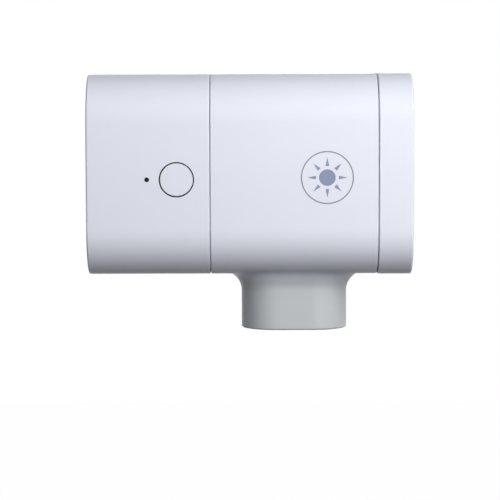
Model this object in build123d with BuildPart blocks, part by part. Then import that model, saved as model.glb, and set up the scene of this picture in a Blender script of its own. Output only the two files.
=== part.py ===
"""Wall-hung ultraviolet brush sterilizer, built piece by piece, in millimetres.

+Z is up, the front faces -Y and the control end is at -X. The origin lies on the wall
behind the middle of the body.
"""

import os

from build123d import *

os.makedirs("parts", exist_ok=True)

# Wall mount
pad_thickness = 1.0
plate_thickness = 1.2
plate_width = 50.0
plate_height = 30.0
plate_corner = 4.0

# Body shell
body_height = 51.3
body_depth = 42.0
corner_radius = 12.0
front_crown = 1.0
wall = 1.8
control_length = 31.275
chamber_length = 42.575
cap_length = 8.8
seam_gap = 0.15
cap_gap = 0.2
seam_chamfer = 0.2
end_edge_radius = 0.5
cap_overhang = 0.13

# Neck that the brush hangs in
neck_width = 27.4
neck_depth = 18.5
neck_length = 14.8
neck_offset = 0.23
neck_wall = 1.5
neck_root_radius = 5.2
neck_edge_radius = 0.5

# Soft sleeve in the neck
sleeve_wall = 1.0
sleeve_height = 10.0
sleeve_recess = 0.3
petal_lift = 3.0
petal_thickness = 1.2
petal_hole_width = 10.0
petal_hole_depth = 7.6
petal_slit = 0.5
petal_count = 8
petal_root = 0.4

# Button and lamp on the front
marks_drop = 0.85
button_from_seam = 8.35
button_diameter = 8.3
button_groove = 0.33
button_flange = 0.7
button_flange_thickness = 0.8
button_depth = 2.9
guide_wall = 0.9
button_stem_diameter = 3.0
button_travel = 0.5
button_edge = 0.12
lamp_from_button = 7.5
lamp_diameter = 1.15
lamp_foot_diameter = 2.6
status_lamp_size = 1.6
status_lamp_height = 0.7

# Insulated leads
lead_diameter = 0.9
lead_bend = 1.2
lead_spread = 1.2
charge_lead_rise = 2.25

# Clearances
slip_fit = 0.2
snug_fit = 0.1

# Main board
board_thickness = 1.0
board_from_front = 9.2
board_width = 23.5
board_height = 34.0
board_from_end = 3.5
board_corner = 1.0
boss_to_edge = 0.3
switch_size = 6.0
switch_corner = 0.4
switch_height = 3.1
plunger_diameter = 3.5
plunger_height = 0.8
plunger_length = 2.0
chip_thickness = 1.2
socket_width = 5.0
socket_height = 4.5
socket_thickness = 4.0
battery_socket_side = 6.5
battery_socket_drop = 3.0
lamp_socket_side = 7.5
lamp_socket_rise = 4.0
# chips, each by its place from the board's middle, width and height
front_chips = ((-4.0, 9.0, 5.0, 5.0), (4.5, 9.5, 3.2, 1.6), (-2.0, -10.0, 3.0, 3.0), (4.0, -10.5, 3.2, 1.6))
back_chips = ((-5.5, -8.0, 4.0, 4.0), (0.5, -8.5, 4.9, 3.9), (6.5, -9.0, 3.2, 2.5))

# Small screws
screw_diameter = 1.6
screw_head_diameter = 3.0
screw_head_height = 1.0
screw_length = 4.5
boss_diameter = 4.4

# Long screws through the bulkhead
case_screw_diameter = 2.0
case_screw_head_diameter = 3.8
case_screw_head_height = 1.2
case_screw_length = 10.0
case_screw_spread = 14.0
case_screw_height = 20.0
case_boss_diameter = 4.8
case_boss_length = 8.0

# Battery
battery_width = 20.0
battery_thickness = 8.0
battery_height = 26.0
battery_edge = 1.5
foam_width = 8.0
foam_height = 9.0
tray_wall = 1.2
tray_from_board = 6.5
tray_from_end = 2.2
tray_rise = 1.5
tray_ear_spread = 11.0
battery_proud = 0.6

# Charging port
port_from_end = 15.5
port_width = 8.94
port_thickness = 3.26
port_shell = 0.3
port_length = 6.5
port_setback = 0.3
port_tongue = 0.7
charge_board_width = 18.0
charge_board_depth = 11.0
charge_screw_spread = 14.0
cover_width = 14.6
cover_length = 7.4
cover_thickness = 1.0
cover_tab_length = 3.0
cover_gap = 0.2
cover_corner = 1.6
cover_hinge_flat = 0.02

# Magnets in the back
magnet_diameter = 10.0
magnet_thickness = 2.0
magnet_spread_x = 37.0
magnet_spread_z = 19.0
magnet_ring_wall = 1.2
magnet_cap_thickness = 0.6

# Bulkhead between the control end and the chamber
bulkhead_setback = 0.2
flange_thickness = 2.0
wire_hole_diameter = 3.0
spigot_length = 1.8
spigot_wall = 1.2
gasket_thickness = 0.8
bulkhead_thickness = 2.0

# Lamp board, window and reflector in the chamber
lamp_board_depth = 10.0
lamp_board_height = 22.5
diode_size = 3.5
diode_height = 1.2
diode_lens_diameter = 2.8
diode_pitch = 7.5
diode_room = 0.6
window_depth = 14.0
window_height = 26.0
window_corner = 1.0
window_seal_width = 1.4
window_thickness = 1.0
window_seal_thickness = 0.4
bezel_depth = 20.4
bezel_height = 30.0
bezel_corner = 2.0
bezel_screw_spread = 17.4
bezel_screw_rise = 18.0
liner_gap = 3.0
liner_thickness = 0.8
liner_ring_thickness = 2.0
liner_ring_setback = 3.0
first_ring_setback = 0.75
bezel_screw_length = 5.6

# End cap
cap_spigot_length = 4.0
cap_spigot_wall = 1.4
seal_width = 1.2
seal_groove = 0.7

# Places worked out from the sizes
body_length = control_length + seam_gap + chamber_length + cap_gap + cap_length
body_back_y = -(pad_thickness + plate_thickness)
body_front_y = body_back_y - body_depth
body_mid_y = body_back_y - body_depth / 2
left_x = -body_length / 2
control_end_x = left_x + control_length
chamber_x = control_end_x + seam_gap
chamber_end_x = chamber_x + chamber_length
cap_x = chamber_end_x + cap_gap
neck_x = chamber_x + chamber_length / 2 + neck_offset
body_bottom_z = -body_height / 2
neck_bottom_z = body_bottom_z - neck_length
button_x = control_end_x - button_from_seam
lamp_x = button_x - lamp_from_button
marks_z = -marks_drop
port_x = left_x + port_from_end
inner_front_y = body_front_y + wall
inner_back_y = body_back_y - wall
inner_bottom_z = body_bottom_z + wall


def x_plane(x):
    """Plane across the body's length, with Y and Z as its own axes."""
    return Plane.YZ.offset(x)


def y_plane(y):
    """Plane facing the front, with X and Z as its own axes."""
    return Plane.XZ.offset(-y)


def back_plane(y):
    """Plane facing the wall, with -X and Z as its own axes."""
    return Plane((0, y, 0), x_dir=(-1, 0, 0), z_dir=(0, 1, 0))


def z_plane(z):
    """Level plane, with X and Y as its own axes."""
    return Plane.XY.offset(z)


def body_section(x, inset=0.0):
    """Rounded section of the body at x, with its crowned front, drawn in by inset."""
    top = body_height / 2
    shoulder_y = body_front_y + front_crown
    with BuildSketch(x_plane(x)) as section:
        with BuildLine():
            Polyline((shoulder_y, top), (body_back_y, top), (body_back_y, -top), (shoulder_y, -top))
            ThreePointArc((shoulder_y, -top), (body_front_y, 0), (shoulder_y, top))
        make_face()
        fillet(section.vertices(), corner_radius)
        if inset:
            offset(amount=-inset)
    return section.sketch


def neck_section(z, inset=0.0):
    """Slot-shaped section of the neck at height z, drawn in by inset."""
    with BuildSketch(z_plane(z)) as section:
        with Locations((neck_x, body_mid_y)):
            SlotOverall(neck_width - 2 * inset, neck_depth - 2 * inset)
    return section.sketch


def is_neck_root(edge):
    """True for an edge where the neck meets the underside of the body."""
    box = edge.bounding_box()
    within_x = box.min.X > neck_x - neck_width / 2 - slip_fit and box.max.X < neck_x + neck_width / 2 + slip_fit
    within_z = box.min.Z > body_bottom_z - slip_fit and box.max.Z < body_bottom_z + 2 * slip_fit
    return within_x and within_z


def corner_points(width, height, u=0.0, v=0.0):
    """Corners of a rectangle about (u, v) on a sketch plane."""
    return [(u + i * width / 2, v + j * height / 2) for i in (-1, 1) for j in (-1, 1)]


# Places of the screws and magnets
board_back_y = body_front_y + board_from_front + board_thickness
board_front_y = board_back_y - board_thickness
board_mid_x = left_x + board_from_end + board_width / 2
board_screw_inset = boss_diameter / 2 + boss_to_edge
board_screws_at = corner_points(
    board_width - 2 * board_screw_inset, board_height - 2 * board_screw_inset, board_mid_x
)
case_screws_at = corner_points(case_screw_spread, 2 * case_screw_height, body_mid_y)
charge_screws_at = [(port_x + side * charge_screw_spread / 2, body_mid_y) for side in (-1, 1)]
magnets_at_z = (-magnet_spread_z / 2, magnet_spread_z / 2)
magnet_x = magnet_spread_x / 2
magnet_seat_y = inner_back_y - magnet_thickness
magnet_ring_diameter = magnet_diameter + 2 * snug_fit + 2 * magnet_ring_wall

# Places of the charging port
recess_depth = cover_thickness + snug_fit
recess_floor_z = body_bottom_z + recess_depth
port_mouth_z = recess_floor_z + port_setback
charge_board_z = port_mouth_z + port_length
port_pad_z = inner_bottom_z + recess_depth

# Places of the bulkhead, the flange and the liner
bulkhead_x = chamber_x + bulkhead_setback
bulkhead_gasket_x = bulkhead_x + bulkhead_thickness
flange_x = bulkhead_gasket_x + gasket_thickness
flange_end_x = flange_x + flange_thickness
spigot_inset = wall + slip_fit
mouth_inset = spigot_inset + spigot_wall
bulkhead_inset = mouth_inset + slip_fit
liner_inset = wall + liner_gap + snug_fit
liner_x = flange_end_x + case_screw_head_height + 2 * slip_fit
liner_end_x = cap_x - cap_spigot_length - 2 * slip_fit
collar_top_z = inner_bottom_z + liner_gap
throat_inset = neck_wall + sleeve_wall
screw_hole_diameter = screw_diameter + 2 * snug_fit
case_hole_diameter = case_screw_diameter + 2 * snug_fit

# Places of the battery and its tray
tray_front_y = board_back_y + tray_from_board
battery_front_y = tray_front_y - battery_proud
battery_back_y = battery_front_y + battery_thickness
tray_base_y = battery_back_y + snug_fit
tray_back_y = tray_base_y + tray_wall
tray_outer_width = battery_width + 2 * snug_fit + 2 * tray_wall
tray_outer_height = battery_height + 2 * snug_fit + 2 * tray_wall
tray_mid_x = left_x + wall + tray_from_end + tray_outer_width / 2
tray_top_z = tray_rise + tray_outer_height / 2
tray_ears_at = [
    (tray_mid_x + side * tray_ear_spread / 2, tray_top_z + boss_diameter / 2) for side in (-1, 1)
]
tray_rest_at = (
    tray_mid_x - tray_outer_width / 2 + boss_diameter, tray_rise - tray_outer_height / 2 + boss_diameter
)


def bezel_opening(x):
    """Opening at x that the window's bezel passes through."""
    with BuildSketch(x_plane(x)) as opening:
        with Locations((body_mid_y, 0)):
            RectangleRounded(bezel_depth + 2 * slip_fit, bezel_height + 2 * slip_fit, bezel_corner + slip_fit)
    return opening.sketch


def lead(points):
    """Insulated wire along straight runs with rounded corners."""
    with BuildPart() as wire:
        with BuildLine() as route:
            FilletPolyline(*points, radius=lead_bend)
        with BuildSketch(Plane(route.line @ 0, z_dir=route.line % 0)):
            Circle(lead_diameter / 2)
        sweep()
    return wire.part


def magnet_discs(x, y, diameter):
    """Discs facing the front, one above the other, on the places of the magnets at x."""
    with BuildSketch(y_plane(y)) as discs:
        with Locations(*[(x, z) for z in magnets_at_z]):
            Circle(diameter / 2)
    return discs.sketch


def screw_set(head_plane, points, diameter, length, head_diameter, head_height):
    """Pan-head screws with their heads on a plane and their shanks behind it."""
    with BuildPart() as group:
        with BuildSketch(head_plane):
            with Locations(*points):
                Circle(head_diameter / 2)
        extrude(amount=head_height)
        fillet(group.edges().filter_by(GeomType.CIRCLE).sort_by(
            lambda edge: head_plane.to_local_coords(edge.center()).Z)[-len(points):], head_height / 3)
        with BuildSketch(head_plane):
            with Locations(*points):
                Circle(diameter / 2)
        extrude(amount=-length)
        with BuildSketch(head_plane.offset(head_height)):
            with Locations(*points):
                Rectangle(head_diameter / 2, head_diameter / 8)
                Rectangle(head_diameter / 8, head_diameter / 2)
        extrude(amount=-head_height / 2, mode=Mode.SUBTRACT)
    return group.part


# Adhesive pad and steel plate on the wall
with BuildPart() as adhesive_pad:
    with BuildSketch(y_plane(0)):
        RectangleRounded(plate_width, plate_height, plate_corner)
    extrude(amount=pad_thickness)
adhesive_pad.part.label = "adhesive_pad"
export_step(adhesive_pad.part, "parts/adhesive_pad.step")

with BuildPart() as wall_plate:
    with BuildSketch(y_plane(-pad_thickness)):
        RectangleRounded(plate_width, plate_height, plate_corner)
    extrude(amount=plate_thickness)
wall_plate.part.label = "wall_plate"
export_step(wall_plate.part, "parts/wall_plate.step")

# Posts, rings and columns inside the control housing, trimmed to the middle of its wall
with BuildPart() as control_posts:
    # posts that the main board is screwed to
    with BuildSketch(y_plane(board_front_y)):
        with Locations(*board_screws_at):
            Circle(boss_diameter / 2)
    extrude(amount=board_front_y - body_front_y)
    # posts that carry the battery tray
    with BuildSketch(y_plane(tray_back_y)):
        with Locations(*tray_ears_at, tray_rest_at):
            Circle(boss_diameter / 2)
    extrude(amount=tray_back_y - body_back_y)
    # rings for the magnets
    extrude(magnet_discs(-magnet_x, magnet_seat_y, magnet_ring_diameter), amount=magnet_seat_y - body_back_y)
    # columns that take the long screws, with ribs to the shell
    with BuildSketch(x_plane(bulkhead_x - case_boss_length)):
        with Locations(*case_screws_at):
            Circle(case_boss_diameter / 2)
    extrude(amount=case_boss_length)
    with BuildSketch(x_plane(bulkhead_x - case_boss_length)):
        with Locations(*corner_points(case_screw_spread, body_height, body_mid_y)):
            Rectangle(case_boss_diameter / 2, body_height - 2 * case_screw_height)
    extrude(amount=chamber_x - spigot_length - slip_fit - bulkhead_x + case_boss_length)
    # pad and posts of the charging board
    with BuildSketch(z_plane(body_bottom_z)):
        with Locations((port_x, body_mid_y + cover_tab_length / 2)):
            Rectangle(charge_board_width, charge_board_depth + cover_tab_length)
    extrude(amount=port_pad_z - body_bottom_z)
    with BuildSketch(z_plane(port_pad_z)):
        with Locations(*charge_screws_at):
            Circle(boss_diameter / 2)
    extrude(amount=charge_board_z - port_pad_z)
    extrude(body_section(left_x, wall / 2), amount=body_length / 2, mode=Mode.INTERSECT)

# Control housing, the left shell with the button, lamp and charging port
with BuildPart() as control_housing:
    extrude(body_section(left_x), amount=control_length)
    fillet(control_housing.edges().group_by(Axis.X)[0], end_edge_radius)
    chamfer(control_housing.edges().group_by(Axis.X)[-1], seam_chamfer)
    extrude(body_section(left_x + wall, wall), amount=control_length, mode=Mode.SUBTRACT)
    add(control_posts.part)
    extrude(
        magnet_discs(-magnet_x, magnet_seat_y, magnet_diameter + 2 * snug_fit),
        amount=-magnet_thickness,
        mode=Mode.SUBTRACT,
    )
    # recess and mouth of the charging port
    with BuildSketch(z_plane(body_bottom_z)):
        with Locations((port_x, body_mid_y + cover_tab_length / 2)):
            RectangleRounded(
                cover_width + 2 * cover_gap, cover_length + cover_tab_length + 2 * cover_gap, cover_corner + cover_gap
            )
        with Locations((port_x, body_mid_y - cover_length / 2 - cover_gap)):
            Circle(cover_corner)
    extrude(amount=recess_depth, mode=Mode.SUBTRACT)
    with BuildSketch(z_plane(body_bottom_z)):
        with Locations((port_x, body_mid_y)):
            SlotOverall(port_width + 2 * slip_fit, port_thickness + 2 * slip_fit)
    extrude(amount=port_pad_z - body_bottom_z, mode=Mode.SUBTRACT)
    # holes for the button, the lamp and the screws
    with BuildSketch(y_plane(inner_front_y + wall)):
        with Locations((button_x, marks_z)):
            Circle(button_diameter / 2 + button_groove)
        with Locations((lamp_x, marks_z)):
            Circle(lamp_diameter / 2 + snug_fit / 2)
    extrude(amount=3 * wall, mode=Mode.SUBTRACT)
    with BuildSketch(y_plane(board_front_y)):
        with Locations(*board_screws_at):
            Circle(screw_hole_diameter / 2)
    extrude(amount=screw_length, mode=Mode.SUBTRACT)
    with BuildSketch(y_plane(tray_back_y)):
        with Locations(*tray_ears_at):
            Circle(screw_hole_diameter / 2)
    extrude(amount=-screw_length, mode=Mode.SUBTRACT)
    with BuildSketch(z_plane(charge_board_z)):
        with Locations(*charge_screws_at):
            Circle(screw_hole_diameter / 2)
    extrude(amount=-screw_length, mode=Mode.SUBTRACT)
    with BuildSketch(x_plane(bulkhead_x)):
        with Locations(*case_screws_at):
            Circle(case_hole_diameter / 2)
    extrude(amount=-case_boss_length + wall, mode=Mode.SUBTRACT)
control_housing.part.label = "control_housing"
export_step(control_housing.part, "parts/control_housing.step")

# Chamber housing, the middle shell with the spigot, the flange and the neck
with BuildPart() as chamber_housing:
    extrude(body_section(chamber_x), amount=chamber_length)
    chamfer(chamber_housing.edges().group_by(Axis.X)[0], seam_chamfer)
    chamfer(chamber_housing.edges().group_by(Axis.X)[-1], seam_chamfer)
    extrude(neck_section(neck_bottom_z), amount=neck_length + corner_radius)
    fillet(chamber_housing.edges().group_by(Axis.Z)[0], neck_edge_radius)
    fillet(chamber_housing.edges().filter_by(is_neck_root), neck_root_radius)
    extrude(body_section(flange_end_x, wall), amount=chamber_length, mode=Mode.SUBTRACT)
    # spigot that plugs into the control housing, its mouth and the flange's window
    extrude(body_section(chamber_x - spigot_length, spigot_inset), amount=spigot_length)
    extrude(
        body_section(chamber_x - spigot_length, mouth_inset),
        amount=flange_x - chamber_x + spigot_length,
        mode=Mode.SUBTRACT,
    )
    extrude(bezel_opening(flange_x), amount=flange_thickness, mode=Mode.SUBTRACT)
    with BuildSketch(x_plane(flange_x)):
        with Locations(*case_screws_at):
            Circle(case_hole_diameter / 2)
    extrude(amount=flange_thickness, mode=Mode.SUBTRACT)
    # collar that carries the throat up to the liner
    extrude(neck_section(inner_bottom_z - wall / 2), amount=collar_top_z - inner_bottom_z + wall / 2)
    extrude(neck_section(neck_bottom_z, throat_inset), amount=collar_top_z - neck_bottom_z, mode=Mode.SUBTRACT)
    extrude(neck_section(neck_bottom_z, neck_wall), amount=sleeve_recess + sleeve_height, mode=Mode.SUBTRACT)
    # rings for the magnets
    extrude(magnet_discs(magnet_x, magnet_seat_y, magnet_ring_diameter), amount=-(magnet_thickness + wall / 2))
    extrude(
        magnet_discs(magnet_x, magnet_seat_y, magnet_diameter + 2 * snug_fit),
        amount=-magnet_thickness,
        mode=Mode.SUBTRACT,
    )
chamber_housing.part.label = "chamber_housing"
export_step(chamber_housing.part, "parts/chamber_housing.step")

# End cap that pulls off the right end, with its spigot and seal
cap_inset = wall + slip_fit
cap_spigot_x = cap_x - cap_spigot_length
seal_x = cap_x - cap_spigot_length / 2 - seal_width / 2
with BuildPart() as end_cap:
    extrude(body_section(cap_x, -cap_overhang), amount=cap_length)
    fillet(end_cap.edges().group_by(Axis.X)[-1], end_edge_radius)
    chamfer(end_cap.edges().group_by(Axis.X)[0], seam_chamfer)
    extrude(body_section(cap_spigot_x, cap_inset), amount=cap_spigot_length)
    extrude(
        body_section(cap_spigot_x, cap_inset + cap_spigot_wall),
        amount=cap_spigot_length + cap_length - wall,
        mode=Mode.SUBTRACT,
    )
    with BuildPart(mode=Mode.PRIVATE) as groove:
        extrude(body_section(seal_x, cap_inset), amount=seal_width)
        extrude(body_section(seal_x, cap_inset + seal_groove), amount=seal_width, mode=Mode.SUBTRACT)
    add(groove.part, mode=Mode.SUBTRACT)
end_cap.part.label = "end_cap"
export_step(end_cap.part, "parts/end_cap.step")

with BuildPart() as cap_seal:
    extrude(body_section(seal_x, wall + snug_fit), amount=seal_width)
    extrude(body_section(seal_x, cap_inset + seal_groove), amount=seal_width, mode=Mode.SUBTRACT)
cap_seal.part.label = "cap_seal"
export_step(cap_seal.part, "parts/cap_seal.step")

# Button: a cap that follows the crowned front, a flange behind the shell and a stem
button_flange_back_y = body_front_y + button_depth
flange_diameter = button_diameter + 2 * button_groove + 2 * button_flange
switch_front_y = board_front_y - switch_height
plunger_front_y = switch_front_y - plunger_height
button_at = (button_x, marks_z)
with BuildPart() as power_button:
    with BuildSketch(y_plane(button_flange_back_y)):
        with Locations(button_at):
            Circle(button_diameter / 2)
    extrude(amount=button_depth + front_crown)
    extrude(body_section(button_x - button_diameter), amount=2 * button_diameter, mode=Mode.INTERSECT)
    fillet(power_button.edges().group_by(Axis.Y)[0], button_edge)
    with BuildSketch(y_plane(button_flange_back_y)):
        with Locations(button_at):
            Circle(flange_diameter / 2)
    extrude(amount=button_flange_thickness)
    with BuildSketch(y_plane(button_flange_back_y)):
        with Locations(button_at):
            Circle(button_stem_diameter / 2)
    extrude(amount=button_flange_back_y - plunger_front_y)
power_button.part.label = "power_button"
export_step(power_button.part, "parts/power_button.step")

# Guide behind the front that the button's flange slides in, with a seat for the light pipe
guide_web_y = button_flange_back_y + button_travel + slip_fit
guide_back_y = guide_web_y + button_flange_thickness
guide_depth = guide_back_y - inner_front_y - slip_fit
with BuildPart() as button_guide:
    with BuildSketch(y_plane(guide_back_y)):
        with Locations(button_at):
            Circle(flange_diameter / 2 + slip_fit + guide_wall)
        with Locations((lamp_x, marks_z)):
            Circle(lamp_foot_diameter / 2 + guide_wall)
    extrude(amount=guide_depth)
    with BuildSketch(y_plane(guide_web_y)):
        with Locations(button_at):
            Circle(flange_diameter / 2 + slip_fit)
    extrude(amount=guide_depth, mode=Mode.SUBTRACT)
    with BuildSketch(y_plane(guide_back_y)):
        with Locations(button_at):
            Circle(button_stem_diameter / 2 + slip_fit)
        with Locations((lamp_x, marks_z)):
            Circle(lamp_diameter / 2 + snug_fit / 2)
    extrude(amount=guide_depth, mode=Mode.SUBTRACT)
button_guide.part.label = "button_guide"
export_step(button_guide.part, "parts/button_guide.step")

# Switch on the main board, with the plunger that the button presses
with BuildPart() as tactile_switch:
    with BuildSketch(y_plane(board_front_y)):
        with Locations(button_at):
            Rectangle(switch_size, switch_size)
    extrude(amount=switch_height)
    fillet(tactile_switch.edges().filter_by(Axis.Y), switch_corner)
    with BuildSketch(y_plane(switch_front_y)):
        with Locations(button_at):
            Circle(plunger_diameter / 2 + snug_fit)
    extrude(amount=-(plunger_length - plunger_height + button_travel + snug_fit), mode=Mode.SUBTRACT)
tactile_switch.part.label = "tactile_switch"
export_step(tactile_switch.part, "parts/tactile_switch.step")

with BuildPart() as switch_plunger:
    with BuildSketch(y_plane(plunger_front_y)):
        with Locations(button_at):
            Circle(plunger_diameter / 2)
    extrude(amount=-plunger_length)
switch_plunger.part.label = "switch_plunger"
export_step(switch_plunger.part, "parts/switch_plunger.step")

# Light pipe from the front to the status lamp
status_lamp_front_y = board_front_y - status_lamp_height
with BuildPart() as light_pipe:
    with BuildSketch(y_plane(guide_back_y)):
        with Locations((lamp_x, marks_z)):
            Circle(lamp_diameter / 2)
    extrude(amount=guide_back_y - body_front_y + wall)
    extrude(body_section(lamp_x - lamp_diameter), amount=2 * lamp_diameter, mode=Mode.INTERSECT)
    with BuildSketch(y_plane(status_lamp_front_y - slip_fit)):
        with Locations((lamp_x, marks_z)):
            Circle(lamp_foot_diameter / 2)
    extrude(amount=status_lamp_front_y - slip_fit - guide_back_y)
light_pipe.part.label = "light_pipe"
export_step(light_pipe.part, "parts/light_pipe.step")

with BuildPart() as status_lamp:
    with BuildSketch(y_plane(board_front_y)):
        with Locations((lamp_x, marks_z)):
            Rectangle(status_lamp_size, status_lamp_size / 2)
    extrude(amount=status_lamp_height)
status_lamp.part.label = "status_lamp"
export_step(status_lamp.part, "parts/status_lamp.step")

# Main board behind the button, its parts and its screws
with BuildPart() as main_board:
    with BuildSketch(y_plane(board_back_y)):
        with Locations((board_mid_x, 0)):
            RectangleRounded(board_width, board_height, board_corner)
        with Locations(*board_screws_at):
            Circle(screw_hole_diameter / 2, mode=Mode.SUBTRACT)
    extrude(amount=board_thickness)
main_board.part.label = "main_board"
export_step(main_board.part, "parts/main_board.step")

# Chips and sockets on the board
battery_socket_at = (board_mid_x + battery_socket_side, -battery_socket_drop)
lamp_socket_at = (board_mid_x + lamp_socket_side, lamp_socket_rise)
with BuildPart() as board_chips:
    with BuildSketch(y_plane(board_front_y)):
        for u, v, width, height in front_chips:
            with Locations((board_mid_x + u, v)):
                Rectangle(width, height)
    extrude(amount=chip_thickness)
    with BuildSketch(y_plane(board_back_y)):
        for u, v, width, height in back_chips:
            with Locations((board_mid_x + u, v)):
                Rectangle(width, height)
    extrude(amount=-chip_thickness)
    with BuildSketch(y_plane(board_back_y)):
        with Locations(battery_socket_at, lamp_socket_at):
            Rectangle(socket_width, socket_height)
    extrude(amount=-socket_thickness)
board_chips.part.label = "board_chips"
export_step(board_chips.part, "parts/board_chips.step")

with BuildPart() as board_screws:
    add(screw_set(
        back_plane(board_back_y), [(-u, v) for u, v in board_screws_at],
        screw_diameter, screw_length, screw_head_diameter, screw_head_height,
    ))
board_screws.part.label = "board_screws"
export_step(board_screws.part, "parts/board_screws.step")

# Battery cell in its tray
with BuildPart() as battery_tray:
    with BuildSketch(y_plane(tray_back_y)):
        with Locations((tray_mid_x, tray_rise)):
            RectangleRounded(tray_outer_width, tray_outer_height, battery_edge)
        for ear_x, ear_z in tray_ears_at:
            with Locations((ear_x, ear_z)):
                Circle(boss_diameter / 2)
            with Locations((ear_x, tray_top_z)):
                Rectangle(boss_diameter, boss_diameter)
    extrude(amount=tray_wall)
    with BuildSketch(y_plane(tray_base_y)):
        with Locations((tray_mid_x, tray_rise)):
            RectangleRounded(tray_outer_width, tray_outer_height, battery_edge)
    extrude(amount=tray_base_y - tray_front_y)
    with BuildSketch(y_plane(tray_base_y)):
        with Locations((tray_mid_x, tray_rise)):
            Rectangle(battery_width + 2 * snug_fit, battery_height + 2 * snug_fit)
    extrude(amount=tray_base_y - tray_front_y, mode=Mode.SUBTRACT)
    with BuildSketch(y_plane(tray_back_y)):
        with Locations(*tray_ears_at):
            Circle(screw_hole_diameter / 2)
    extrude(amount=tray_wall, mode=Mode.SUBTRACT)
battery_tray.part.label = "battery_tray"
export_step(battery_tray.part, "parts/battery_tray.step")

with BuildPart() as battery_cell:
    with BuildSketch(y_plane(battery_back_y)):
        with Locations((tray_mid_x, tray_rise)):
            Rectangle(battery_width, battery_height)
    extrude(amount=battery_thickness)
    fillet(battery_cell.edges().filter_by(Axis.Z), battery_edge)
battery_cell.part.label = "battery_cell"
export_step(battery_cell.part, "parts/battery_cell.step")

with BuildPart() as battery_foam:
    with BuildSketch(y_plane(battery_front_y)):
        with Locations((tray_mid_x, tray_rise + battery_height / 4)):
            Rectangle(foam_width, foam_height)
    extrude(amount=battery_front_y - board_back_y)
battery_foam.part.label = "battery_foam"
export_step(battery_foam.part, "parts/battery_foam.step")

with BuildPart() as tray_screws:
    add(screw_set(
        y_plane(tray_base_y), tray_ears_at,
        screw_diameter, screw_length, screw_head_diameter, screw_head_height,
    ))
tray_screws.part.label = "tray_screws"
export_step(tray_screws.part, "parts/tray_screws.step")

# Leads from the battery's front to its socket on the board
socket_mid_y = board_back_y + socket_thickness / 2
battery_lead_x = battery_socket_at[0] - socket_width
with BuildPart() as battery_leads:
    for side in (-1, 1):
        lead_z = battery_socket_at[1] + side * lead_spread / 2
        add(lead([
            (battery_lead_x - socket_width / 4, battery_front_y, lead_z),
            (battery_lead_x - socket_width / 4, socket_mid_y, lead_z),
            (battery_socket_at[0] - socket_width / 2, socket_mid_y, lead_z),
        ]))
battery_leads.part.label = "battery_leads"
export_step(battery_leads.part, "parts/battery_leads.step")

# Charging board and socket over the hole in the underside
with BuildPart() as charge_board:
    with BuildSketch(z_plane(charge_board_z)):
        with Locations((port_x, body_mid_y)):
            RectangleRounded(charge_board_width, charge_board_depth, board_corner)
        with Locations(*charge_screws_at):
            Circle(screw_hole_diameter / 2, mode=Mode.SUBTRACT)
    extrude(amount=board_thickness)
charge_board.part.label = "charge_board"
export_step(charge_board.part, "parts/charge_board.step")

with BuildPart() as charging_port:
    with BuildSketch(z_plane(port_mouth_z)):
        with Locations((port_x, body_mid_y)):
            SlotOverall(port_width, port_thickness)
    extrude(amount=port_length)
    with BuildSketch(z_plane(port_mouth_z)):
        with Locations((port_x, body_mid_y)):
            SlotOverall(port_width - 2 * port_shell, port_thickness - 2 * port_shell)
    extrude(amount=port_length - 2 * port_shell, mode=Mode.SUBTRACT)
    with BuildSketch(z_plane(port_mouth_z + port_shell + board_thickness)):
        with Locations((port_x, body_mid_y)):
            Rectangle(port_width - port_thickness, port_tongue)
    extrude(amount=port_length - 2 * port_shell - board_thickness)
charging_port.part.label = "charging_port"
export_step(charging_port.part, "parts/charging_port.step")

with BuildPart() as charge_board_screws:
    add(screw_set(
        z_plane(charge_board_z + board_thickness), charge_screws_at,
        screw_diameter, screw_length, screw_head_diameter, screw_head_height,
    ))
charge_board_screws.part.label = "charge_board_screws"
export_step(charge_board_screws.part, "parts/charge_board_screws.step")

# Leads from the charging board up to the main board
charge_lead_x = port_x + charge_board_width / 4
charge_lead_y = body_mid_y - charge_board_depth / 2 + 2 * lead_diameter
charge_lead_z = charge_board_z + board_thickness + charge_lead_rise
with BuildPart() as charge_leads:
    for side in (-1, 1):
        lead_x = charge_lead_x + side * lead_spread / 2
        add(lead([
            (lead_x, charge_lead_y, charge_board_z + board_thickness),
            (lead_x, charge_lead_y, charge_lead_z),
            (lead_x, board_back_y, charge_lead_z),
        ]))
charge_leads.part.label = "charge_leads"
export_step(charge_leads.part, "parts/charge_leads.step")

# Soft cover over the charging socket: a flap that swings down and its fixed tab
cover_top_z = body_bottom_z + cover_thickness
with BuildPart() as port_cover:
    with BuildSketch(z_plane(body_bottom_z)):
        with Locations((port_x, body_mid_y)):
            Rectangle(cover_width, cover_length)
    extrude(amount=cover_thickness)
    fillet(port_cover.edges().filter_by(Axis.Z).group_by(Axis.Y)[0], cover_corner)
    fillet(port_cover.edges().filter_by(Axis.X).group_by(Axis.Y)[-1], (cover_thickness - cover_hinge_flat) / 2)
    with BuildSketch(z_plane(cover_top_z)):
        with Locations((port_x, body_mid_y)):
            SlotOverall(port_width - 4 * port_shell, port_thickness - 4 * port_shell)
    extrude(amount=port_setback + snug_fit + slip_fit)
port_cover.part.label = "port_cover"
export_step(port_cover.part, "parts/port_cover.step")

cover_tab_y = body_mid_y + cover_length / 2 + cover_gap
with BuildPart() as cover_tab:
    with BuildSketch(z_plane(body_bottom_z)):
        with Locations((port_x, cover_tab_y + (cover_tab_length - cover_gap) / 2)):
            Rectangle(cover_width, cover_tab_length - cover_gap)
    extrude(amount=recess_depth)
    fillet(cover_tab.edges().filter_by(Axis.Z).group_by(Axis.Y)[-1], cover_corner)
cover_tab.part.label = "cover_tab"
export_step(cover_tab.part, "parts/cover_tab.step")

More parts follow.
